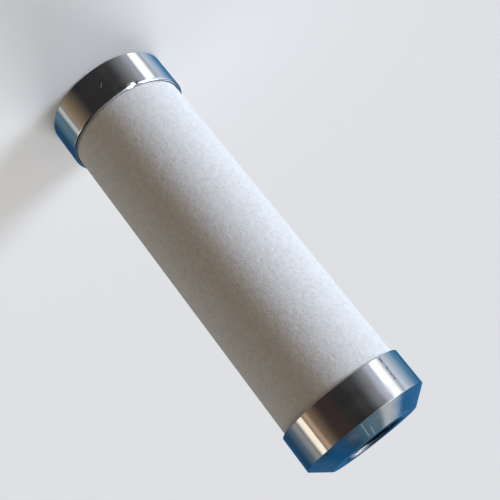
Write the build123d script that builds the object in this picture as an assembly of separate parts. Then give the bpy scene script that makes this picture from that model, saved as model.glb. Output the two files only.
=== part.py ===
from build123d import *
import os

# Probe filter element: a porous tube closed by two turned end caps. Millimetres.
# It stands on its closed end. The origin is the centre of that flat end face, and +Z runs
# along the axis to the ported end, the one with the conical shoulder.

# Driving dimensions
overall_length = 100.0
cap_diameter = 30.0
tube_diameter = 28.2
tube_bore = 20.0

# Cup that both caps have, where the end of the tube is bonded in
lip_thickness = 0.65
lip_inner_break = 0.1
cup_depth = 6.0
bed_thickness = 0.5
open_groove_depth = 1.0

# Closed cap: a plain round cap with a flat end
closed_cap_length = 9.0
closed_cap_edge_break = 0.3
closed_lip_round = 0.5

# Ported cap: a cylinder, a conical shoulder, a narrow end face and the port through it
ported_cap_cylinder = 8.5
shoulder_height = 3.0
end_face_diameter = 21.8
ported_lip_round = 0.2
port_bore = 13.8
port_mouth_chamfer = 0.6

# Radii and heights that follow
cap_radius = cap_diameter / 2
tube_radius = tube_diameter / 2
tube_bore_radius = tube_bore / 2
cup_radius = cap_radius - lip_thickness
port_radius = port_bore / 2
closed_cup_floor = closed_cap_length - cup_depth
shoulder_start = overall_length - shoulder_height
ported_rim = shoulder_start - ported_cap_cylinder
ported_cup_floor = ported_rim + cup_depth


def turn(corners):
    """Turns a half section about Z. Each corner is (radius, height), then how its edge is
    finished, where it isn't sharp: fillet or chamfer, and the size."""
    with BuildPart() as piece:
        with BuildSketch(Plane.XZ) as half_section:
            with BuildLine():
                Polyline(*[corner[:2] for corner in corners], close=True)
            make_face()
            for radius, height, *finish in corners:
                if finish:
                    edge_finish, size = finish
                    corner_point = half_section.vertices().sort_by_distance((radius, height))[0]
                    edge_finish(corner_point, size)
        revolve(axis=Axis.Z)
    return piece.part


def closed_end_cap():
    """Cup with a solid end. Its well rounded lip stands round the tube, with a fine groove between."""
    return turn([
        (0, 0),
        (cap_radius, 0, chamfer, closed_cap_edge_break),
        (cap_radius, closed_cap_length, fillet, closed_lip_round),
        (cup_radius, closed_cap_length, chamfer, lip_inner_break),
        (cup_radius, closed_cup_floor),
        (0, closed_cup_floor),
    ])


def ported_end_cap():
    """The same cup, with the end turned to a crisp conical shoulder and bored through.
    The mouth of the port has a bright chamfer."""
    return turn([
        (cap_radius, ported_rim, fillet, ported_lip_round),
        (cap_radius, shoulder_start),
        (end_face_diameter / 2, overall_length),
        (port_radius, overall_length, chamfer, port_mouth_chamfer),
        (port_radius, ported_cup_floor),
        (cup_radius, ported_cup_floor),
        (cup_radius, ported_rim, chamfer, lip_inner_break),
    ])


def filter_tube():
    """Porous tube, cut square, with one plain wall from end to end."""
    bottom = closed_cup_floor + bed_thickness
    top = ported_cup_floor - bed_thickness
    return turn([
        (tube_bore_radius, bottom),
        (tube_radius, bottom),
        (tube_radius, top),
        (tube_bore_radius, top),
    ])


def bond_ring(floor, towards_rim):
    """Bonding compound in one cup: a bed under the end of the tube and a thin wall up round it.
    It stops short of the rim, so that a groove stays open. towards_rim is 1 up, -1 down."""
    bed = floor + towards_rim * bed_thickness
    wall_end = floor + towards_rim * (cup_depth - open_groove_depth)
    return turn([
        (tube_bore_radius, floor),
        (cup_radius, floor),
        (cup_radius, wall_end),
        (tube_radius, wall_end),
        (tube_radius, bed),
        (tube_bore_radius, bed),
    ])


nodes = {
    "closed_end_cap": closed_end_cap(),
    "closed_end_bond": bond_ring(closed_cup_floor, 1),
    "filter_tube": filter_tube(),
    "ported_end_bond": bond_ring(ported_cup_floor, -1),
    "ported_end_cap": ported_end_cap(),
}

os.makedirs("parts", exist_ok=True)
for name, solid in nodes.items():
    export_step(solid, f"parts/{name}.step")
    print(name, "volume", round(solid.volume, 1), "mm3")
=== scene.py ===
# %% [markdown]
# # A probe filter element in Blender
# The real part cleans a stream of gas. Gas is drawn in through the wall of a white porous tube and
# leaves through the port at one end. Two turned steel caps close the tube, and a bonding compound
# seals it into them. The solids were modelled before this lesson starts. They are loaded here as a
# frame that is never moved, and this script gives the part its looks: smooth turned steel, a grainy
# porous wall, and a camera and light like those of the photograph.

# %% Load the frame
import math
import random

import bpy
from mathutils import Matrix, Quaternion, Vector


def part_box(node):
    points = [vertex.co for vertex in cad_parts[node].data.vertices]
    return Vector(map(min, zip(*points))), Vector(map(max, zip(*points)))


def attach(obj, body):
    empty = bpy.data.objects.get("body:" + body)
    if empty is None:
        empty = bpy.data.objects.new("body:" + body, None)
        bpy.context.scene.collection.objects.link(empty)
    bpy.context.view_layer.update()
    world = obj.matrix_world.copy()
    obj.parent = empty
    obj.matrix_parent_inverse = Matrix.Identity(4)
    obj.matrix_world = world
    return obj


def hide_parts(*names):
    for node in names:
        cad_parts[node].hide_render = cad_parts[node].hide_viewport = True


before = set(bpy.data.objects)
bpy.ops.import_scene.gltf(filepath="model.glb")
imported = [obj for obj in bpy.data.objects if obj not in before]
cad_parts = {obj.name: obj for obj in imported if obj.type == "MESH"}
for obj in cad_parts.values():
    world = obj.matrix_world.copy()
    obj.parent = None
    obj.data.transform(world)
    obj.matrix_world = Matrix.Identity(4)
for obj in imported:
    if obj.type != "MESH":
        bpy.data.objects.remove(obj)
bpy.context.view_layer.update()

# Blender works in metres. Sizes are given in millimetres, times this
MM = 0.001
print("pieces:", ", ".join(sorted(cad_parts)))

# %% [markdown]
# ## Sizes
# Most sizes can be read from the frame: how long each cap is, how thick the tube is. The sizes that a
# box can't give, such as the round of a lip or the bore of the port, are written down in millimetres,
# as on a drawing. Heights run along Z from the flat face of the closed cap, on which the part stands.

# %% Sizes from the frame
closed_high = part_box("closed_end_cap")[1]
ported_low, ported_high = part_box("ported_end_cap")
tube_low, tube_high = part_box("filter_tube")

cap_radius = closed_high.x
tube_radius = tube_high.x
closed_rim = closed_high.z
ported_rim = ported_low.z
overall_length = ported_high.z
print("closed cap", round(closed_rim / MM, 2), "mm long, ported cap from",
      round(ported_rim / MM, 2), "to", round(overall_length / MM, 2), "mm")

# %% Sizes from the drawing
lip_thickness = 0.65 * MM
lip_inner_break = 0.1 * MM
closed_lip_round = 0.5 * MM
ported_lip_round = 0.2 * MM
cup_depth = 6.0 * MM
closed_cap_edge_break = 0.3 * MM
shoulder_height = 3.0 * MM
end_face_radius = 10.9 * MM
port_radius = 6.9 * MM
port_mouth_chamfer = 0.6 * MM
crisp_edge_round = 0.03 * MM
tube_bore_radius = 10.0 * MM

cup_radius = cap_radius - lip_thickness
closed_cup_floor = closed_rim - cup_depth
ported_cup_floor = ported_rim + cup_depth
shoulder_start = overall_length - shoulder_height
print("the groove round the tube is", round((cup_radius - tube_radius) / MM, 2), "mm wide")

# %% [markdown]
# ## Camera
# The photograph looks down along the part from beyond its ported end, while the part lies on its side.
# A round bar would roll, so here it stands on its closed end, and the camera leans over instead: it is
# placed and rolled so that the part appears as it does in the photograph. The camera's place, aim and
# roll come from matching the outlines of both caps and of the tube.

# %% Place the camera
camera_place = Vector((0, -194.64, 112.81)) * MM
camera_aim = Vector((-4.05, 0, 51.30)) * MM
camera_roll = math.radians(141.67)
focal_length_mm = 66.4
sensor_width_mm = 36.0
photo_width = 500
nearest_seen = 10 * MM
furthest_seen = 20.0

camera_data = bpy.data.cameras.new("camera")
camera_data.lens = focal_length_mm
camera_data.sensor_width = sensor_width_mm
camera_data.clip_start = nearest_seen
camera_data.clip_end = furthest_seen
camera = bpy.data.objects.new("camera", camera_data)
bpy.context.scene.collection.objects.link(camera)
camera.location = camera_place
camera.rotation_mode = "QUATERNION"
level_view = (camera_aim - camera_place).to_track_quat("-Z", "Y")
camera.rotation_quaternion = level_view @ Quaternion((0, 0, 1), camera_roll)
bpy.context.scene.camera = camera
bpy.context.view_layer.update()


def place_in_photo(point):
    """Column and row of a point in the photograph's frame, in pixels."""
    seen = camera.matrix_world.inverted() @ point
    pixels = focal_length_mm / sensor_width_mm * photo_width
    return (round(photo_width / 2 + seen.x / -seen.z * pixels, 1),
            round(photo_width / 2 - seen.y / -seen.z * pixels, 1))


print("closed end's centre at", place_in_photo(Vector((0, 0, 0))))
print("port's centre at", place_in_photo(Vector((0, 0, overall_length))))

# %% [markdown]
# ## Colours and nodes
# Colours are written as sRGB hex, as a colour picker shows them. Blender works in linear light, so one
# function turns hex to linear. A second small function adds a node, sets it and links it, so that each
# material reads as a list of what feeds what. It gives back the node's first output, ready to be fed
# into the next node.

# %% Turn hex colours to linear
def linear(hex_colour):
    """Linear red, green, blue and alpha of an sRGB hex colour such as #C8C8C8."""
    channels = [int(hex_colour[place:place + 2], 16) / 255 for place in (1, 3, 5)]
    lit = [c / 12.92 if c <= 0.04045 else ((c + 0.055) / 1.055) ** 2.4 for c in channels]
    return (*lit, 1.0)


print("middle grey #808080 is", round(linear("#808080")[0], 3), "in linear light")


# %% Add a node
def add_node(tree, kind, inputs=None, output=0, **settings):
    """Adds a node and gives one of its outputs. Settings are its own properties, and inputs are
    values or outputs of other nodes."""
    made = tree.nodes.new(kind)
    for setting, value in settings.items():
        setattr(made, setting, value)
    for socket, value in (inputs or {}).items():
        if isinstance(value, bpy.types.NodeSocket):
            tree.links.new(value, made.inputs[socket])
        else:
            made.inputs[socket].default_value = value
    return made.outputs[output] if len(made.outputs) else None


# %% [markdown]
# ## Lamps
# Matt surfaces are lit by lamps, and each lamp here does one thing that can be seen. A cool key light,
# low on the left, gives the tube its bright flank and the edge of the shadow that runs along it. A weak
# fill light from the other side lifts the far edge of that shadow. A large lamp behind keeps the back
# of the tube white, and a soft light overhead evens out the floor. All are kept out of the steel's
# reflections, which get a studio of their own.

# %% Hang the lights
lights = []


def hang_light(name, azimuth_deg, height_deg, strength, softness_deg, colour):
    """A distant lamp. Azimuth 0 is towards the camera and 90 is towards +X."""
    data = bpy.data.lights.new(name, "SUN")
    data.energy = strength
    data.angle = math.radians(softness_deg)
    data.color = linear(colour)[:3]
    lamp = bpy.data.objects.new(name, data)
    bpy.context.scene.collection.objects.link(lamp)
    turn = math.radians(azimuth_deg)
    rise = math.radians(height_deg)
    level = math.cos(rise)
    towards = Vector((math.sin(turn) * level, -math.cos(turn) * level, math.sin(rise)))
    lamp.rotation_mode = "QUATERNION"
    lamp.rotation_quaternion = towards.to_track_quat("Z", "Y")
    lamp.visible_glossy = False
    lights.append((Vector(linear(colour)[:3]) * strength, towards))


hang_light("key_light", azimuth_deg=-80, height_deg=14, strength=3.57, softness_deg=26, colour="#DDECFF")
hang_light("fill_light", azimuth_deg=110, height_deg=30, strength=0.52, softness_deg=56, colour="#DAF5FF")
hang_light("back_light", azimuth_deg=180, height_deg=32, strength=1.7, softness_deg=36, colour="#FAFAFF")
hang_light("top_light", azimuth_deg=0, height_deg=90, strength=0.3, softness_deg=30, colour="#F8FAFF")

# Besides the lamps, every matt surface gets this even light from the room
even_light = Vector(linear("#796E61")[:3])

# Colours are shown as they come out, without the softening of a film look
bpy.context.scene.view_settings.view_transform = "Standard"

# %% [markdown]
# ## Floor and backdrop
# A part like this is shown on a plain pale sweep of card. Here the sweep is a flat floor whose edge
# fades into a backdrop. The backdrop gets the very colour that the lamps give the card, worked out
# with the cosine law, so that no horizon shows behind the part.

# %% Lay the floor
floor_size = 4.0
floor_fades_from = 0.35
floor_fades_to = 1.6
card_white = 0.9

received = Vector((0, 0, 0))
for shine, towards in lights:
    received += shine * towards.z / math.pi
received += even_light
backdrop_colour = (*(received * card_white), 1.0)
print("the card looks", [round(channel, 3) for channel in backdrop_colour[:3]])

bpy.ops.object.select_all(action="DESELECT")
bpy.ops.mesh.primitive_plane_add(size=floor_size)
floor = bpy.context.object
floor.name = "floor"

# The steel mirrors the studio and not the floor, and the floor throws no light up on to the tube
floor.visible_glossy = False
floor.visible_diffuse = False

card = bpy.data.materials.new("pale_card")
card.use_nodes = True
tree = card.node_tree
tree.nodes.clear()
place = add_node(tree, "ShaderNodeTexCoord", output="Object")
distance = add_node(tree, "ShaderNodeVectorMath", {0: place}, output="Value", operation="LENGTH")
fade = add_node(tree, "ShaderNodeMapRange", {
    "Value": distance, "From Min": floor_fades_from, "From Max": floor_fades_to,
}, interpolation_type="SMOOTHSTEP")
matt = add_node(tree, "ShaderNodeBsdfDiffuse", {"Color": (card_white, card_white, card_white, 1.0)})
clear = add_node(tree, "ShaderNodeBsdfTransparent")
mixed = add_node(tree, "ShaderNodeMixShader", {0: fade, 1: matt, 2: clear})
add_node(tree, "ShaderNodeOutputMaterial", {"Surface": mixed})
floor.data.materials.append(card)

# %% [markdown]
# ## A studio for the steel
# Polished steel shows its surroundings more than itself, so the surroundings are what is designed. The
# caps show a bright band from a window on one side, a narrow warm band from a lamp on the other, a
# dark stretch between them and deep blue towards the edges. Each is a soft panel on the wall of a round
# studio, given by its direction round the part: 0 degrees is towards the camera and 90 is towards +X.
# The bands on the two caps don't line up unless the studio leans towards the camera, which is what a
# Mapping node does to the direction before it is measured.

# %% Measure directions in the leaning studio
studio_lean = math.radians(25.4)

studio = bpy.data.worlds.new("studio")
studio.use_nodes = True
bpy.context.scene.world = studio
tree = studio.node_tree
tree.nodes.clear()
direction = add_node(tree, "ShaderNodeTexCoord", output="Generated")
leaned = add_node(tree, "ShaderNodeMapping", {"Vector": direction, "Rotation": (-studio_lean, 0, 0)})
across = add_node(tree, "ShaderNodeSeparateXYZ", {"Vector": leaned}, output="X")
away = add_node(tree, "ShaderNodeSeparateXYZ", {"Vector": leaned}, output="Y")
up = add_node(tree, "ShaderNodeSeparateXYZ", {"Vector": leaned}, output="Z")
towards_camera = add_node(tree, "ShaderNodeMath", {0: away, 1: -1.0}, operation="MULTIPLY")
azimuth = add_node(tree, "ShaderNodeMath", {0: across, 1: towards_camera}, operation="ARCTAN2")
elevation = add_node(tree, "ShaderNodeMath", {0: up}, operation="ARCSINE")


# %% Shape a soft panel
def span(tree, value, starts, full, fades, ends):
    """0 outside a span, 1 from full to fades, and a smooth rise and fall between. Limits are degrees."""
    share = add_node(tree, "ShaderNodeMapRange", {
        "Value": value, "From Min": math.radians(starts), "From Max": math.radians(full),
    }, interpolation_type="SMOOTHSTEP")
    rest = add_node(tree, "ShaderNodeMapRange", {
        "Value": value, "From Min": math.radians(ends), "From Max": math.radians(fades),
    }, interpolation_type="SMOOTHSTEP")
    return add_node(tree, "ShaderNodeMath", {0: share, 1: rest}, operation="MULTIPLY")


def panel_share(tree, azimuths, heights):
    """How much of a direction lies in a panel with these spans of azimuth and of height."""
    middle = (azimuths[0] + azimuths[3]) / 2
    off_middle = add_node(tree, "ShaderNodeMath", {
        0: azimuth, 1: math.radians(middle),
    }, operation="SUBTRACT")
    turned = add_node(tree, "ShaderNodeMath", {0: off_middle, 1: math.pi, 2: -math.pi}, operation="WRAP")
    share = span(tree, turned, *[limit - middle for limit in azimuths])
    if heights is None:
        return share
    rise = span(tree, elevation, *heights)
    return add_node(tree, "ShaderNodeMath", {0: share, 1: rise}, operation="MULTIPLY")


# %% Hang the panels
# No room is quite black, so the panels are added to a faint light from all sides.
room_glimmer = 0.006
light = add_node(tree, "ShaderNodeCombineXYZ", {"X": room_glimmer, "Y": room_glimmer, "Z": room_glimmer})


def hang_panel(colour, strength, azimuths, heights=None):
    """Adds a panel's light to the studio. Its azimuths and heights are where it starts, where it is
    full, where it begins to fade and where it ends, in degrees. Without heights it is a whole strip."""
    global light
    shine = Vector(linear(colour)[:3]) * strength
    share = panel_share(tree, azimuths, heights)
    part = add_node(tree, "ShaderNodeVectorMath", {0: shine, "Scale": share}, operation="SCALE")
    light = add_node(tree, "ShaderNodeVectorMath", {0: light, 1: part}, operation="ADD")


# The dim side of the room, behind the camera
hang_panel("#FFFAF6", 0.030, azimuths=(-125, -70, 70, 110))

# The window, its side wall and the wall before it
hang_panel("#FFFFFF", 1.9, azimuths=(-92, -79, -71, -65))
hang_panel("#DDEEFF", 0.92, azimuths=(-130, -97, -95, -84))
hang_panel("#E6E8F0", 0.44, azimuths=(-70, -66, -62, -25))
hang_panel("#FFFFFF", 0.018, azimuths=(-56, -36, -20, -8))
hang_panel("#DCE4FF", 0.20, azimuths=(-76, -68, -62, -50))
hang_panel("#D8E4FF", 0.26, azimuths=(-76, -68, -62, -49), heights=(-20, 8, 80, 90))
hang_panel("#EEEEFF", 1.0, azimuths=(-142, -130, -100, -88), heights=(-14, 3, 58, 74))

# What only the closed cap's lip shows: a ceiling lamp, and a bright wall past the tube
hang_panel("#FFFFF8", 2.0, azimuths=(-106, -97, -50, -40), heights=(20, 26, 54, 62))
hang_panel("#F2F4FF", 2.3, azimuths=(-177, -172, -161.5, -158), heights=(2, 12, 28, 35))

# The skylight, its brightest pane and its glow
hang_panel("#F0FAFF", 0.70, azimuths=(-176, -166, -150, -146), heights=(22.5, 42, 43, 48))
hang_panel("#FFFFFF", 10.0, azimuths=(-150, -145, -138, -132), heights=(22, 30, 41, 50))
hang_panel("#A8E0FF", 0.28, azimuths=(-206, -170, -162, -150), heights=(44, 49, 55, 62))

# The lamp, its dimmer foot, the warm doorway before it and the wall past it
hang_panel("#FFF2DC", 1.62, azimuths=(70.8, 73.0, 79.2, 87.5), heights=(-20, -8, 14, 24))
hang_panel("#FFFFF8", 0.64, azimuths=(69, 72, 74, 84), heights=(-90, -50, -20, -8))
hang_panel("#FFD2A0", 0.26, azimuths=(36, 64, 69, 73), heights=(-90, -89, 8, 22))
hang_panel("#FFE8C0", 0.06, azimuths=(30, 42, 66, 72), heights=(-90, -89, -10, 0))
hang_panel("#FFDCC4", 0.34, azimuths=(59, 64, 68, 71), heights=(-16, 0, 8, 22))
hang_panel("#9CE4FF", 0.12, azimuths=(57, 68, 76, 84), heights=(-90, -89, -20, -10))
hang_panel("#FFE0C0", 0.22, azimuths=(84, 90, 92, 106), heights=(-30, -16, 6, 16))
hang_panel("#C8DCEC", 0.30, azimuths=(80, 90, 92, 128), heights=(-32, -24, 4, 14))
hang_panel("#A0E0FF", 0.32, azimuths=(78, 86, 90, 122), heights=(-90, -89, -32, -24))
hang_panel("#FF6A48", 0.022, azimuths=(0, 28, 38, 56), heights=(-10, 2, 30, 40))

# The blue of the far walls, bright on the window's side and deep on the lamp's
hang_panel("#7BC9FF", 0.46, azimuths=(212, 226, 236, 257), heights=(-90, -89, 20, 34))
hang_panel("#48A8FF", 0.10, azimuths=(212, 226, 240, 262), heights=(-90, -89, -38, -26))
hang_panel("#48B2FF", 0.37, azimuths=(174, 186, 210, 226), heights=(-90, -89, 28, 38))
hang_panel("#58B4FF", 0.15, azimuths=(94, 122, 176, 184), heights=(-90, -89, 6, 20))
hang_panel("#38B0FF", 0.11, azimuths=(138, 156, 174, 182), heights=(-44, -20, 6, 20))
hang_panel("#38B0FF", 0.24, azimuths=(150, 152.5, 174, 182), heights=(6, 20, 34, 60))

# A pale ceiling, and a pale wall with a window, for the views from behind
hang_panel("#F0F4F8", 0.40, azimuths=(100, 140, 220, 260), heights=(54, 64, 90, 91))
hang_panel("#F4F4F4", 0.30, azimuths=(150, 165, 195, 210), heights=(-78, -68, -58, -50))
hang_panel("#FFFFFF", 1.8, azimuths=(172, 175, 185, 188), heights=(-78, -68, -58, -50))
print("studio has", len(tree.nodes), "nodes")

# %% Give each kind of ray what it is meant to see
# Reflections see the panels, matt surfaces get an even light, and the camera sees the backdrop.
panels = add_node(tree, "ShaderNodeBackground", {"Color": light})
even = add_node(tree, "ShaderNodeBackground", {"Color": (*even_light, 1.0)})
backdrop = add_node(tree, "ShaderNodeBackground", {"Color": backdrop_colour})
in_reflection = add_node(tree, "ShaderNodeLightPath", output="Is Glossy Ray")
to_camera = add_node(tree, "ShaderNodeLightPath", output="Is Camera Ray")
surroundings = add_node(tree, "ShaderNodeMixShader", {0: in_reflection, 1: even, 2: panels})
seen = add_node(tree, "ShaderNodeMixShader", {0: to_camera, 1: surroundings, 2: backdrop})
add_node(tree, "ShaderNodeOutputWorld", {"Surface": seen})
print("with the choice between rays it has", len(tree.nodes), "nodes")

# %% [markdown]
# ## A lathe made of operators
# Caps and tube are all round bodies, so one way suits them all, and it is the way a turner thinks:
# draw half of the section, then turn it about the axis. The section starts as a small plane merged to
# one point. Extruding that point draws the outline corner by corner, bevelling a corner rounds it, and
# Spin turns the outline into a body. Steps of one degree keep polished steel free of flats.

# %% Draw a half section
# Points closer together than this count as one
same_place = 0.001 * MM


def start_section(name, radius, height):
    """A new piece that is one point, in edit mode."""
    bpy.ops.object.select_all(action="DESELECT")
    bpy.ops.mesh.primitive_plane_add(size=1 * MM)
    piece = bpy.context.object
    piece.name = piece.data.name = name
    bpy.ops.object.mode_set(mode="EDIT")
    bpy.ops.mesh.select_all(action="SELECT")
    bpy.ops.mesh.merge(type="CENTER")
    bpy.ops.transform.translate(value=(radius, 0, height))
    return piece


def select_points(piece, places):
    """Selects the points of a section that lie at the given (radius, height) places."""
    wanted = [Vector((radius, 0, height)) for radius, height in places]
    bpy.ops.mesh.select_all(action="DESELECT")
    bpy.ops.object.mode_set(mode="OBJECT")
    for vertex in piece.data.vertices:
        vertex.select = any((vertex.co - place).length < same_place for place in wanted)
    bpy.ops.object.mode_set(mode="EDIT")


def draw_section(name, corners, close=True):
    """Draws straight lines through the corners, each given as (radius, height)."""
    piece = start_section(name, *corners[0])
    for (radius, height), (next_radius, next_height) in zip(corners, corners[1:]):
        step = (next_radius - radius, 0, next_height - height)
        bpy.ops.mesh.extrude_region_move(TRANSFORM_OT_translate={"value": step})
    if close:
        select_points(piece, [corners[0], corners[-1]])
        bpy.ops.mesh.edge_face_add()
    return piece


# %% Round a corner, then turn the section
def round_corner(piece, corner, size, steps=4):
    """Rounds one corner of a section. One step makes it a chamfer."""
    select_points(piece, [corner])
    bpy.ops.mesh.bevel(offset=size, segments=steps, affect="VERTICES")


def turn_section(piece, steps=360, smooth_under_deg=30):
    """Spins the section about Z, closes seam and poles, and shades it without flats."""
    bpy.ops.mesh.select_all(action="SELECT")
    bpy.ops.mesh.spin(steps=steps, angle=math.tau, center=(0, 0, 0), axis=(0, 0, 1))
    bpy.ops.mesh.select_all(action="SELECT")
    bpy.ops.mesh.remove_doubles(threshold=same_place)
    bpy.ops.mesh.normals_make_consistent(inside=False)
    bpy.ops.mesh.select_all(action="DESELECT")
    bpy.ops.object.mode_set(mode="OBJECT")
    bpy.ops.object.shade_smooth_by_angle(angle=math.radians(smooth_under_deg))
    print(piece.name, "has", len(piece.data.polygons), "faces")


# %% Work out places on the round wall
def on_wall(azimuth_deg, height, radius):
    """The point at an azimuth and height on a wall of the given radius. Azimuth 0 faces the camera."""
    turn = math.radians(azimuth_deg)
    return Vector((radius * math.sin(turn), -radius * math.cos(turn), height))


def outwards(azimuth_deg):
    """The level direction straight away from the axis."""
    return on_wall(azimuth_deg, 0, 1)


# %% [markdown]
# ## Ported cap
# On the real element this cap is turned from stainless bar: a cup for the tube, a cylinder, a crisp
# conical shoulder, a narrow flat seat and a bored port with a bright chamfer at its mouth. Every edge
# gets a small round, because no real edge is a perfect line and the round is what catches the light.

# %% Turn the ported cap
lip_outside = (cap_radius, ported_rim)
shoulder_edge = (cap_radius, shoulder_start)
seat_edge = (end_face_radius, overall_length)
port_mouth = (port_radius, overall_length)
port_inner_end = (port_radius, ported_cup_floor)
cup_corner = (cup_radius, ported_cup_floor)
lip_inside = (cup_radius, ported_rim)

ported_cap = draw_section("ported_cap", [
    lip_outside, shoulder_edge, seat_edge, port_mouth, port_inner_end, cup_corner, lip_inside,
])
round_corner(ported_cap, lip_outside, ported_lip_round)
round_corner(ported_cap, lip_inside, lip_inner_break, steps=2)
round_corner(ported_cap, shoulder_edge, crisp_edge_round)
round_corner(ported_cap, seat_edge, crisp_edge_round)
round_corner(ported_cap, port_mouth, port_mouth_chamfer, steps=1)
turn_section(ported_cap)

# %% [markdown]
# ## Closed cap
# The other cap is the same cup with a solid, flat end. Its lip is well rounded and shows as a bright
# band beside the tube. The section of this one starts and ends on the axis, so Spin closes it at two
# poles.

# %% Turn the closed cap
end_edge = (cap_radius, 0)
closed_lip_outside = (cap_radius, closed_rim)
closed_lip_inside = (cup_radius, closed_rim)
closed_cap = draw_section("closed_cap", [
    (0, 0), end_edge, closed_lip_outside, closed_lip_inside,
    (cup_radius, closed_cup_floor), (0, closed_cup_floor),
], close=False)
round_corner(closed_cap, end_edge, closed_cap_edge_break, steps=1)
round_corner(closed_cap, closed_lip_outside, closed_lip_round, steps=8)
round_corner(closed_cap, closed_lip_inside, lip_inner_break, steps=2)
turn_section(closed_cap)

# %% [markdown]
# ## A ding and a nick in the closed cap
# The photograph shows two small marks on the closed cap. One is a ding in its wall, a slanting mark
# about a millimetre long. The other is a nick in the edge of its lip, a bruise where the rounded edge
# is pushed in and down, which catches the light and breaks the thin highlight there. Paint or bump
# would not change the edge's outline, so both are pressed into the mesh: the wall is cut into a finer
# grid just where they go, and points are pushed in, each taking its neighbours along.

# %% Cut a finer grid into part of a wall
def select_faces(piece, wanted):
    """Selects the faces for which wanted(centre, normal) is true."""
    bpy.ops.mesh.select_all(action="DESELECT")
    bpy.ops.object.mode_set(mode="OBJECT")
    for face in piece.data.polygons:
        face.select = wanted(face.center, face.normal)
    bpy.ops.object.mode_set(mode="EDIT")


# The patch takes only the outer skin of the wall, and not the flat top of the lip, which faces up
wall_skin = 0.4 * MM
faces_up = 0.95


def refine_wall(piece, azimuth_deg, half_turn_deg, low, high, rows, cuts):
    """Cuts rows between two heights, then divides the outer faces there that lie round an azimuth."""
    def in_patch(centre, normal):
        turned = math.degrees(math.atan2(centre.x, -centre.y)) - azimuth_deg
        outside = math.hypot(centre.x, centre.y) > cap_radius - wall_skin and normal.z < faces_up
        return outside and abs(turned) < half_turn_deg and low < centre.z < high

    bpy.ops.mesh.select_mode(type="FACE")
    for row in range(rows + 1):
        row_height = low + (high - low) * row / rows
        bpy.ops.mesh.select_all(action="SELECT")
        bpy.ops.mesh.bisect(plane_co=(0, 0, row_height), plane_no=(0, 0, 1))
    select_faces(piece, in_patch)
    bpy.ops.mesh.subdivide(number_cuts=cuts)


# %% Press a point in
def press(piece, spot, push, reach):
    """Moves the point nearest to a spot, and takes the points within reach along, less and less."""
    bpy.ops.mesh.select_mode(type="VERT")
    bpy.ops.mesh.select_all(action="DESELECT")
    bpy.ops.object.mode_set(mode="OBJECT")
    nearest = min(piece.data.vertices, key=lambda vertex: (vertex.co - spot).length)
    nearest.select = True
    bpy.ops.object.mode_set(mode="EDIT")
    bpy.ops.transform.translate(
        value=push, use_proportional_edit=True,
        proportional_edit_falloff="SMOOTH", proportional_size=reach,
    )


# %% Press in the ding
ding_azimuth = -2.8
ding_height = 4.7 * MM
ding_length = 1.05 * MM
ding_slant_deg = 42
ding_depth = 0.087 * MM
ding_reach = 0.34 * MM
ding_patch_half = 0.9 * MM

bpy.ops.object.mode_set(mode="EDIT")
refine_wall(
    closed_cap, ding_azimuth, half_turn_deg=4, rows=7, cuts=3,
    low=ding_height - ding_patch_half, high=ding_height + ding_patch_half,
)
slant = math.radians(ding_slant_deg)
for share in (-0.5, -0.25, 0.0, 0.25, 0.5):
    along = share * ding_length
    turn_deg = math.degrees(along * math.sin(slant) / cap_radius)
    spot = on_wall(ding_azimuth + turn_deg, ding_height + along * math.cos(slant), cap_radius)
    press(closed_cap, spot, outwards(ding_azimuth) * -ding_depth, ding_reach)
print("ding pressed in at", place_in_photo(on_wall(ding_azimuth, ding_height, cap_radius)))

# %% Press in the nick
# Three wide presses side by side, each in by its own depth and down by the same drop, make one bruise
# that is shallower at one end. The depths are given by azimuth. Each azimuth lies on a point of the
# finer grid, whose points are a third of a degree apart. Midway between two, the nearest would be a
# matter of chance, and not the same in each run.
nick_azimuth = -25
nick_depths = {-22.33: 0.18 * MM, -25: 0.18 * MM, -27.33: 0.10 * MM}
nick_drop = 0.09 * MM
nick_reach = 1.2 * MM
nick_patch_low = closed_rim - 1.7 * MM
nick_patch_high = closed_rim - 0.1 * MM

refine_wall(
    closed_cap, nick_azimuth, half_turn_deg=9, rows=10, cuts=2,
    low=nick_patch_low, high=nick_patch_high,
)
for azimuth_deg, depth in nick_depths.items():
    spot = on_wall(azimuth_deg, closed_rim, cap_radius)
    push = outwards(azimuth_deg) * -depth + Vector((0, 0, -nick_drop))
    press(closed_cap, spot, push, nick_reach)
bpy.ops.mesh.select_all(action="DESELECT")
bpy.ops.object.mode_set(mode="OBJECT")
print("closed cap has", len(closed_cap.data.polygons), "faces with its two marks")


# %% Even out the shading
def even_shading(piece):
    """Lets the large faces set the shading, so that the small rounds don't bend it."""
    bpy.ops.object.select_all(action="DESELECT")
    piece.select_set(True)
    bpy.context.view_layer.objects.active = piece
    piece.modifiers.new("even_shading", "WEIGHTED_NORMAL")
    bpy.ops.object.modifier_apply(modifier="even_shading")
    print(piece.name, "is shaded evenly")


even_shading(ported_cap)
even_shading(closed_cap)

# %% [markdown]
# ## Porous tube
# The wall is a pressed and sintered porous material, cut square at both ends. Its surface is matt and
# lightly grained, like fine sandpaper, with a pit here and there where a grain fell out. A noise in the
# material alone would look painted, so the outer wall is cut into a grid of about 0.3 mm and displaced
# by a procedural texture. The finest grain, and the pores as painted shade, follow later, in the
# material.

# %% Turn the tube with a finely cut outer wall
# Subdivide makes 100 cuts at most, so it runs twice. That gives 20 parts of 15 rows, which is 300 rows.
tube_steps = 320
row_cuts = (19, 14)

tube_bottom = tube_low.z
tube_top = tube_high.z
outer_bottom = (tube_radius, tube_bottom)
outer_top = (tube_radius, tube_top)
tube = draw_section("porous_tube", [
    (tube_bore_radius, tube_bottom), outer_bottom, outer_top, (tube_bore_radius, tube_top),
])
select_points(tube, [outer_bottom, outer_top])
for cuts in row_cuts:
    bpy.ops.mesh.subdivide(number_cuts=cuts)
turn_section(tube, steps=tube_steps)

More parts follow.
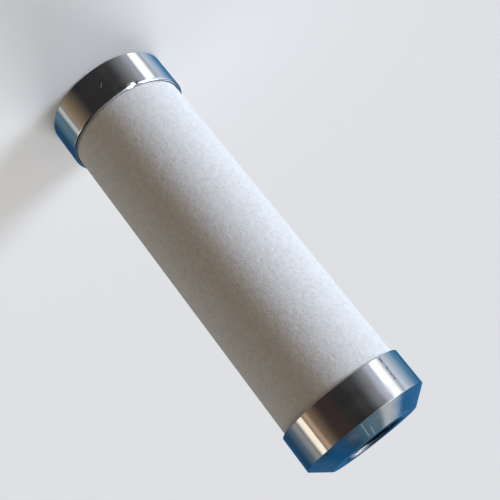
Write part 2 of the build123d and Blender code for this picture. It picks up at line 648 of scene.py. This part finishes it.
# %% Give the outer wall its relief
relief_size = 0.75 * MM
relief_height = 0.06 * MM
relief_octaves = 2

outer_wall = tube.vertex_groups.new(name="outer_wall")
outer_points = [
    vertex.index for vertex in tube.data.vertices
    if math.hypot(vertex.co.x, vertex.co.y) > tube_radius - same_place
]
outer_wall.add(outer_points, 1.0, "REPLACE")

relief = bpy.data.textures.new("pressed_grain", "CLOUDS")
relief.noise_scale = relief_size
relief.noise_depth = relief_octaves
displace = tube.modifiers.new("relief", "DISPLACE")
displace.texture = relief
displace.texture_coords = "LOCAL"
displace.vertex_group = "outer_wall"
displace.strength = relief_height
displace.mid_level = 0.5
bpy.ops.object.modifier_apply(modifier="relief")
furthest_out = max(vertex.co.x for vertex in tube.data.vertices)
print("tube is now", round(furthest_out / MM, 3), "mm in radius at its highest grain")

# %% Press a few pits
# Each is given by its azimuth in degrees and its height in millimetres. The first six lie where the
# photograph shows them. The rest are scattered over the other sides by a seeded draw.
pit_depth = 0.09 * MM
pit_reach = 0.55 * MM
scattered_pits = 14
pits = [(-11.6, 29.2), (-33.6, 53.4), (-33.6, 58.2), (-16.8, 58.7), (-6.4, 74.6), (-14.4, 83.4)]
stray_grain = (2.8, 20.1)

draw = random.Random(7)
for pit in range(scattered_pits):
    pits.append((draw.uniform(60, 300), draw.uniform(14, 84)))


def press_tube(azimuth_deg, height_mm, depth):
    """Presses a pit into the tube. With a depth below 0 it raises a grain instead."""
    spot = on_wall(azimuth_deg, height_mm * MM, tube_radius)
    press(tube, spot, outwards(azimuth_deg) * -depth, pit_reach)


bpy.ops.object.mode_set(mode="EDIT")
for azimuth_deg, height_mm in pits:
    press_tube(azimuth_deg, height_mm, pit_depth)
press_tube(*stray_grain, -pit_depth)
bpy.ops.mesh.select_all(action="DESELECT")
bpy.ops.object.mode_set(mode="OBJECT")
print(len(pits), "pits and one stray grain")

# %% [markdown]
# ## Turned steel
# The caps are stainless steel, turned and then polished on the lathe. The polish leaves rings too fine
# to see one by one, which stretch a highlight along the axis, and a slight waviness. Handling has left
# marks on the ported cap: a cloudy haze of fine scratches, which blurs a reflection in patches, and two
# deeper scratches on the cone. A row of dark specks down the wall is painted into the colour: in part
# scuffing, in part a painted dark reflection along the edge of the bright band. Rings, waves and haze
# are all made from noise on the place of a point, so they need no picture.

# %% Start a material
def new_material(name):
    """A material with an empty node tree."""
    made = bpy.data.materials.new(name)
    made.use_nodes = True
    made.node_tree.nodes.clear()
    return made


def between(tree, value, low, high, starts=0.3, ends=0.7):
    """Turns a value that goes from starts to ends into one that goes from low to high, and no
    further. A noise mostly stays between 0.3 and 0.7."""
    return add_node(tree, "ShaderNodeMapRange", {
        "Value": value, "From Min": starts, "From Max": ends, "To Min": low, "To Max": high,
    })


# %% Rings and waves from the lathe
# The lathe's rings lie about 0.05 mm apart on the real cap. They are drawn at 0.3 mm so that a few show.
ring_pitch = 0.3 * MM
ring_height = 0.0006 * MM
wave_length = 2.5 * MM


def lathe_bumps(tree, place, wave_height):
    """The normal of a turned surface. Height less radius runs along the half section, so noise on it
    makes rings round the axis on the wall, on the cone and on the flat faces."""
    flat_place = add_node(tree, "ShaderNodeVectorMath", {0: place, 1: (1, 1, 0)}, operation="MULTIPLY")
    radius = add_node(tree, "ShaderNodeVectorMath", {0: flat_place}, output="Value", operation="LENGTH")
    height = add_node(tree, "ShaderNodeSeparateXYZ", {"Vector": place}, output="Z")
    along_section = add_node(tree, "ShaderNodeMath", {0: height, 1: radius}, operation="SUBTRACT")
    rings = add_node(tree, "ShaderNodeTexNoise", {
        "W": along_section, "Scale": 1 / ring_pitch, "Detail": 2.0,
    }, noise_dimensions="1D")
    waves = add_node(tree, "ShaderNodeTexNoise", {
        "Vector": place, "Scale": 1 / wave_length, "Detail": 1.0,
    })
    waved = add_node(tree, "ShaderNodeBump", {"Height": waves, "Distance": wave_height})
    return add_node(tree, "ShaderNodeBump", {
        "Height": rings, "Distance": ring_height, "Normal": waved,
    })


# %% A cloud of haze
haze_size = 2.4 * MM
haze_blur = 0.4


def cloud_share(tree, place, haze, middle, reach, strength):
    """A rubbed patch: its strength near the middle, nothing beyond its reach, and cloudy between."""
    away = add_node(tree, "ShaderNodeVectorMath", {
        0: place, 1: middle,
    }, output="Value", operation="DISTANCE")
    rubbed = between(tree, away, strength, 0.0, starts=0.3 * reach, ends=reach)
    cloudy = between(tree, haze, 0.0, 1.0, starts=0.24, ends=0.8)
    return add_node(tree, "ShaderNodeMath", {0: rubbed, 1: cloudy}, operation="MULTIPLY")


# %% A line on the steel
def line_share(tree, place, x, slant, from_z, to_z, half_width=0.13 * MM):
    """1 on a line down the side that faces the camera, and 0 beside it. The line is where a slanting
    plane cuts the surface. X is where it would cross the start of the shoulder."""
    plane = (1.0, 0.0, -slant)
    plane_offset = x - slant * shoulder_start
    sideways = add_node(tree, "ShaderNodeVectorMath", {
        0: place, 1: plane,
    }, output="Value", operation="DOT_PRODUCT")
    shifted = add_node(tree, "ShaderNodeMath", {0: sideways, 1: plane_offset}, operation="SUBTRACT")
    distance = add_node(tree, "ShaderNodeMath", {0: shifted}, operation="ABSOLUTE")
    height = add_node(tree, "ShaderNodeSeparateXYZ", {"Vector": place}, output="Z")
    depth = add_node(tree, "ShaderNodeSeparateXYZ", {"Vector": place}, output="Y")
    share = between(tree, distance, 1.0, 0.0, half_width / 2, half_width)
    for limit in (
        between(tree, height, 0.0, 1.0, from_z - half_width, from_z + half_width),
        between(tree, height, 1.0, 0.0, to_z - half_width, to_z + half_width),
        add_node(tree, "ShaderNodeMath", {0: depth, 1: 0.0}, operation="LESS_THAN"),
    ):
        share = add_node(tree, "ShaderNodeMath", {0: share, 1: limit}, operation="MULTIPLY")
    return share


# %% Turned and polished stainless steel
smudge_size = 4 * MM
smudge_blur = 0.06
smudge_strength = 0.05
scratch_strength = 0.6
# How dark the specks get, which are in part scuffing and in part a painted dark reflection
scuff_and_painted_reflection_darkness = 0.95
speck_size = 0.37 * MM


def turned_steel(name, polish, wave_height, tone="#C9CACC", hazy_places=(), scratches=(), scuffs_and_painted_reflection=()):
    """Polished steel. Polish is its roughness where it is clean. A hazy place has a middle, a reach
    and a strength. Scratches scatter light like a matt surface. Each row of dark specks is painted into
    the colour: in part scuffing, in part a painted dark reflection beside the bright band."""
    made = new_material(name)
    tree = made.node_tree
    place = add_node(tree, "ShaderNodeTexCoord", output="Object")
    haze = add_node(tree, "ShaderNodeTexNoise", {
        "Vector": place, "Scale": 1 / haze_size, "Detail": 1.0, "Roughness": 0.3,
    })
    smudges = add_node(tree, "ShaderNodeTexNoise", {
        "Vector": place, "Scale": 1 / smudge_size, "Detail": 4.0, "Roughness": 0.6,
    })
    specks = add_node(tree, "ShaderNodeTexNoise", {
        "Vector": place, "Scale": 1 / speck_size, "Detail": 1.0,
    })

    roughness = between(tree, smudges, polish, polish + smudge_blur)
    metallic = between(tree, smudges, 1.0, 1.0 - smudge_strength, starts=0.4, ends=0.65)
    for hazy_place in hazy_places:
        cloud = cloud_share(tree, place, haze, **hazy_place)
        roughness = add_node(tree, "ShaderNodeMath", {
            0: cloud, 1: haze_blur, 2: roughness,
        }, operation="MULTIPLY_ADD")
        metallic = add_node(tree, "ShaderNodeMath", {0: metallic, 1: cloud}, operation="SUBTRACT")
    for scratch in scratches:
        line = line_share(tree, place, **scratch)
        torn = add_node(tree, "ShaderNodeMath", {0: line, 1: scratch_strength}, operation="MULTIPLY")
        metallic = add_node(tree, "ShaderNodeMath", {0: metallic, 1: torn}, operation="SUBTRACT")
    shade = linear(tone)
    # Dark specks painted into the colour: in part scuffing, in part a painted dark reflection beside the
    # bright band
    for scuff_and_painted_reflection in scuffs_and_painted_reflection:
        line = line_share(tree, place, **scuff_and_painted_reflection)
        speckled = between(tree, specks, 0.0, scuff_and_painted_reflection_darkness, starts=0.47, ends=0.56)
        dark = add_node(tree, "ShaderNodeMath", {0: line, 1: speckled}, operation="MULTIPLY")
        shade = add_node(tree, "ShaderNodeMix", {
            "Factor": dark, "A": shade, "B": linear("#303236"),
        }, output="Result", data_type="RGBA")
    surface = add_node(tree, "ShaderNodeBsdfPrincipled", {
        "Base Color": shade, "Metallic": metallic, "Anisotropic": 0.5, "Anisotropic Rotation": 0.25,
        "Roughness": roughness, "Normal": lathe_bumps(tree, place, wave_height),
    })
    add_node(tree, "ShaderNodeOutputMaterial", {"Surface": surface})
    print(name, "has", len(tree.nodes), "nodes")
    return made


# %% The steel of each cap
# The closed cap is clean. The ported cap has its haze beside the bright band and on the cone.
closed_cap_steel = turned_steel("polished_stainless_steel", polish=0.05, wave_height=0.004 * MM)
ported_cap_steel = turned_steel(
    "handled_stainless_steel", polish=0.05, wave_height=0.008 * MM,
    hazy_places=[
        dict(middle=on_wall(-33, 93.2 * MM, cap_radius), reach=5.8 * MM, strength=0.24),
        dict(middle=on_wall(-28, 94.6 * MM, cap_radius), reach=3.4 * MM, strength=0.16),
        dict(middle=on_wall(-30, 98.4 * MM, 13.3 * MM), reach=3.5 * MM, strength=0.10),
        dict(middle=on_wall(-5, 98.6 * MM, 13.0 * MM), reach=3.0 * MM, strength=0.10),
        dict(middle=on_wall(14, 98.2 * MM, 13.5 * MM), reach=2.5 * MM, strength=0.16),
    ],
    scratches=[
        dict(x=0.23 * MM, slant=0.075, from_z=97.2 * MM, to_z=99.7 * MM),
        dict(x=-1.10 * MM, slant=0.13, from_z=98.4 * MM, to_z=99.9 * MM),
    ],
    # A row of dark specks, in part scuffing and in part a painted dark reflection beside the bright band
    scuffs_and_painted_reflection=[
        dict(x=-10.37 * MM, slant=0.038, from_z=88.9 * MM, to_z=94.2 * MM, half_width=0.2 * MM),
    ],
)

# The port's chamfer was cut after polishing, so it is less smooth. Its greyer tone is in part
# painted shade, which darkens the mouth of the port
chamfer_steel_with_painted_shade = turned_steel("cut_steel_with_painted_shade", polish=0.06, wave_height=0.004 * MM, tone="#808284")

# %% [markdown]
# ## Bored steel, painted dark as shade
# Inside the cup and the port the steel is left as it was bored: duller than the polished outside, with
# coarse rings. Its colour is set nearly black, which is painted shade: the port looks nearly black from
# most sides, because what light gets in meets the walls many times.

# %% Bored steel, painted dark as shade
bore_ring_pitch = 0.25 * MM
bore_ring_height = 0.004 * MM
stain_size = 2.4 * MM

bored_steel_painted_shade = new_material("bored_steel_painted_shade")
tree = bored_steel_painted_shade.node_tree
place = add_node(tree, "ShaderNodeTexCoord", output="Object")
height = add_node(tree, "ShaderNodeSeparateXYZ", {"Vector": place}, output="Z")
rings = add_node(tree, "ShaderNodeTexNoise", {
    "W": height, "Scale": 1 / bore_ring_pitch, "Detail": 2.0,
}, noise_dimensions="1D")
ringed = add_node(tree, "ShaderNodeBump", {"Height": rings, "Distance": bore_ring_height})
stain = add_node(tree, "ShaderNodeTexNoise", {
    "Vector": place, "Scale": 1 / stain_size, "Detail": 3.0,
})
# The nearly black base colour is painted shade for the inside of the cup and the port
surface = add_node(tree, "ShaderNodeBsdfPrincipled", {
    "Base Color": linear("#343230"), "Metallic": 1.0, "Roughness": between(tree, stain, 0.36, 0.5),
    "Normal": ringed,
})
add_node(tree, "ShaderNodeOutputMaterial", {"Surface": surface})
print("bored steel has", len(tree.nodes), "nodes")


# %% Tell the faces of a cap apart
# A face that looks along a direction has a normal whose share of it is over 0.9. On the chamfer, which
# is at 45 degrees, the share of up is 0.7.
looks_along = 0.9
looks_half_along = 0.5


def inside_cap(centre, normal):
    """True for the walls and floors of the cup and the port, but not for the chamfer at the mouth."""
    from_axis = math.hypot(centre.x, centre.y)
    away_share = (centre.x * normal.x + centre.y * normal.y) / max(from_axis, same_place)
    faces_axis = away_share < -looks_along
    between_floors = closed_cup_floor - same_place < centre.z < ported_cup_floor + same_place
    in_cup = from_axis < cup_radius - same_place and between_floors
    return faces_axis or in_cup


def on_chamfer(centre, normal):
    """True for the chamfer at the mouth of the port."""
    at_mouth = math.hypot(centre.x, centre.y) < port_radius + port_mouth_chamfer
    return at_mouth and looks_half_along < normal.z < looks_along


def finish_number(centre, normal):
    """0 for a cap's polished outside, 1 for its bored inside painted dark as shade, 2 for the chamfer."""
    if inside_cap(centre, normal):
        return 1
    return 2 if on_chamfer(centre, normal) else 0


# %% Dress the caps
def dress_cap(cap, outside, inside, chamfer):
    """Gives a cap its outer finish, another to the faces inside it and a third to its chamfer."""
    cap.data.materials.clear()
    for finish in (outside, inside, chamfer):
        cap.data.materials.append(finish)
    for face in cap.data.polygons:
        face.material_index = finish_number(face.center, face.normal)


# Inside a cap the steel is painted dark as shade, and the chamfer's greyer tone is in part painted shade
dress_cap(closed_cap, closed_cap_steel, bored_steel_painted_shade, chamfer_steel_with_painted_shade)
dress_cap(ported_cap, ported_cap_steel, bored_steel_painted_shade, chamfer_steel_with_painted_shade)
for number, finish in enumerate(ported_cap.data.materials):
    faces = sum(face.material_index == number for face in ported_cap.data.polygons)
    print("ported cap:", faces, "faces of", finish.name)

# %% [markdown]
# ## Porous wall and bonding compound
# The tube is white, matt and porous all through, so light goes a little way in and comes out soft. Its
# finest grain, about half a millimetre, is a bump here, on top of the relief in the mesh. The pores are
# painted shade: faint darker spots in the colour, from a Voronoi texture whose cells lie all through
# the wall. Only those whose middle is near the surface show, so the pores are scattered and differ in
# size. The compound in the grooves is a dark filled resin, trowelled in and left matt.

# %% White porous wall
# A pore's core and edge are shares of the spacing between pores.
grain_size = 0.45 * MM
grain_height = 0.055 * MM
mottle_size = 1.2 * MM
pore_spacing = 1.3 * MM
pore_core = 0.08
pore_edge = 0.24

porous_wall = new_material("sintered_porous_wall")
tree = porous_wall.node_tree
place = add_node(tree, "ShaderNodeTexCoord", output="Object")
grains = add_node(tree, "ShaderNodeTexNoise", {
    "Vector": place, "Scale": 1 / grain_size, "Detail": 2.0, "Roughness": 0.6,
})
grained = add_node(tree, "ShaderNodeBump", {"Height": grains, "Distance": grain_height})
mottle = add_node(tree, "ShaderNodeTexNoise", {
    "Vector": place, "Scale": 1 / mottle_size, "Detail": 4.0, "Roughness": 0.75,
})
shade = add_node(tree, "ShaderNodeMix", {
    "Factor": between(tree, mottle, 0.0, 1.0), "A": linear("#E4E2DF"), "B": linear("#F6F6F6"),
}, output="Result", data_type="RGBA")
from_pore = add_node(tree, "ShaderNodeTexVoronoi", {
    "Vector": place, "Scale": 1 / pore_spacing,
}, output="Distance")
# Darker spots at the pores are painted shade, for the dark inside each small hole
painted_pore_shade = between(tree, from_pore, 1.0, 0.0, starts=pore_core, ends=pore_edge)
speckled = add_node(tree, "ShaderNodeMix", {
    "Factor": painted_pore_shade, "A": shade, "B": linear("#DCDAD8"),
}, output="Result", data_type="RGBA")
surface = add_node(tree, "ShaderNodeBsdfPrincipled", {
    "Base Color": speckled, "Roughness": between(tree, grains, 0.85, 0.95), "Normal": grained,
})
add_node(tree, "ShaderNodeOutputMaterial", {"Surface": surface})
print("porous wall has", len(tree.nodes), "nodes")

# %% Dark bonding compound
lump_size = 0.3 * MM
lump_height = 0.03 * MM

compound = new_material("filled_bonding_resin")
tree = compound.node_tree
place = add_node(tree, "ShaderNodeTexCoord", output="Object")
lumps = add_node(tree, "ShaderNodeTexNoise", {"Vector": place, "Scale": 1 / lump_size, "Detail": 3.0})
lumpy = add_node(tree, "ShaderNodeBump", {"Height": lumps, "Distance": lump_height})
surface = add_node(tree, "ShaderNodeBsdfPrincipled", {
    "Base Color": linear("#3A3836"), "Roughness": between(tree, lumps, 0.6, 0.8), "Normal": lumpy,
})
add_node(tree, "ShaderNodeOutputMaterial", {"Surface": surface})
print("compound has", len(tree.nodes), "nodes")

# %% Put each piece on its body
tube.data.materials.clear()
tube.data.materials.append(porous_wall)
for piece, node, slot in (
    (ported_cap, "ported_end_cap", "turned_steel"),
    (closed_cap, "closed_end_cap", "turned_steel"),
    (tube, "filter_tube", "porous_tube"),
):
    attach(piece, "root")
    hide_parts(node)
    print(piece.name, "stands for", node)

for node in ("closed_end_bond", "ported_end_bond"):
    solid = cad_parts[node]
    solid.data.materials.clear()
    solid.data.materials.append(compound)
